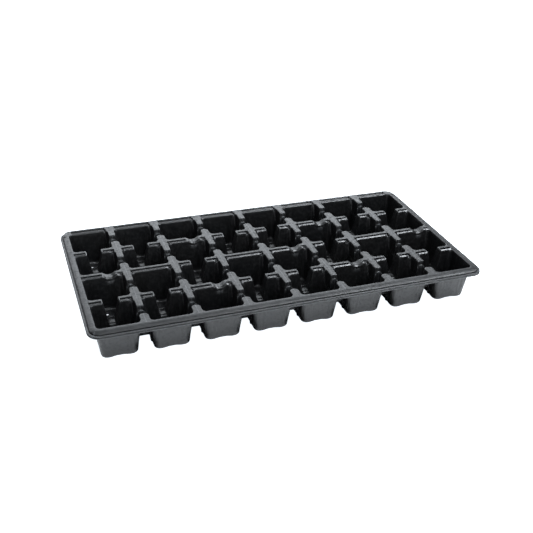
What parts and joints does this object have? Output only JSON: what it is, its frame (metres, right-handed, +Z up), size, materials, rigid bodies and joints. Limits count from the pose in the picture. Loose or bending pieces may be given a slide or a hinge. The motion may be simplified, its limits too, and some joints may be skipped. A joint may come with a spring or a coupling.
{
  "type": "seedling tray",
  "caption": "Shallow black moulded seedling tray with a grid of tapered drained cells, notched webs between them and a stepped carrying rim.",
  "frame": {"origin": "centre of the rectangle the cell feet stand on, at the level of the feet", "axes": "+X along the tray's length, +Y across it, +Z up out of the cells"},
  "size_m": [0.54, 0.282, 0.0495],
  "materials": {
    "sheet": "satin black, as vacuum formed"
  },
  "bodies": {
    "root": {"cell_row1_col1": "sheet", "cell_row1_col2": "sheet", "cell_row1_col3": "sheet", "cell_row1_col4": "sheet", "cell_row1_col5": "sheet", "cell_row1_col6": "sheet", "cell_row1_col7": "sheet", "cell_row1_col8": "sheet", "cell_row2_col1": "sheet", "cell_row2_col2": "sheet", "cell_row2_col3": "sheet", "cell_row2_col4": "sheet", "cell_row2_col5": "sheet", "cell_row2_col6": "sheet", "cell_row2_col7": "sheet", "cell_row2_col8": "sheet", "cell_row3_col1": "sheet", "cell_row3_col2": "sheet", "cell_row3_col3": "sheet", "cell_row3_col4": "sheet", "cell_row3_col5": "sheet", "cell_row3_col6": "sheet", "cell_row3_col7": "sheet", "cell_row3_col8": "sheet", "cell_row4_col1": "sheet", "cell_row4_col2": "sheet", "cell_row4_col3": "sheet", "cell_row4_col4": "sheet", "cell_row4_col5": "sheet", "cell_row4_col6": "sheet", "cell_row4_col7": "sheet", "cell_row4_col8": "sheet", "rim_band_front": "sheet", "rim_ledge_front": "sheet", "rim_band_back": "sheet", "rim_ledge_back": "sheet", "rim_band_left": "sheet", "rim_ledge_left": "sheet", "rim_band_right": "sheet", "rim_ledge_right": "sheet"}
  },
  "joints": []
}
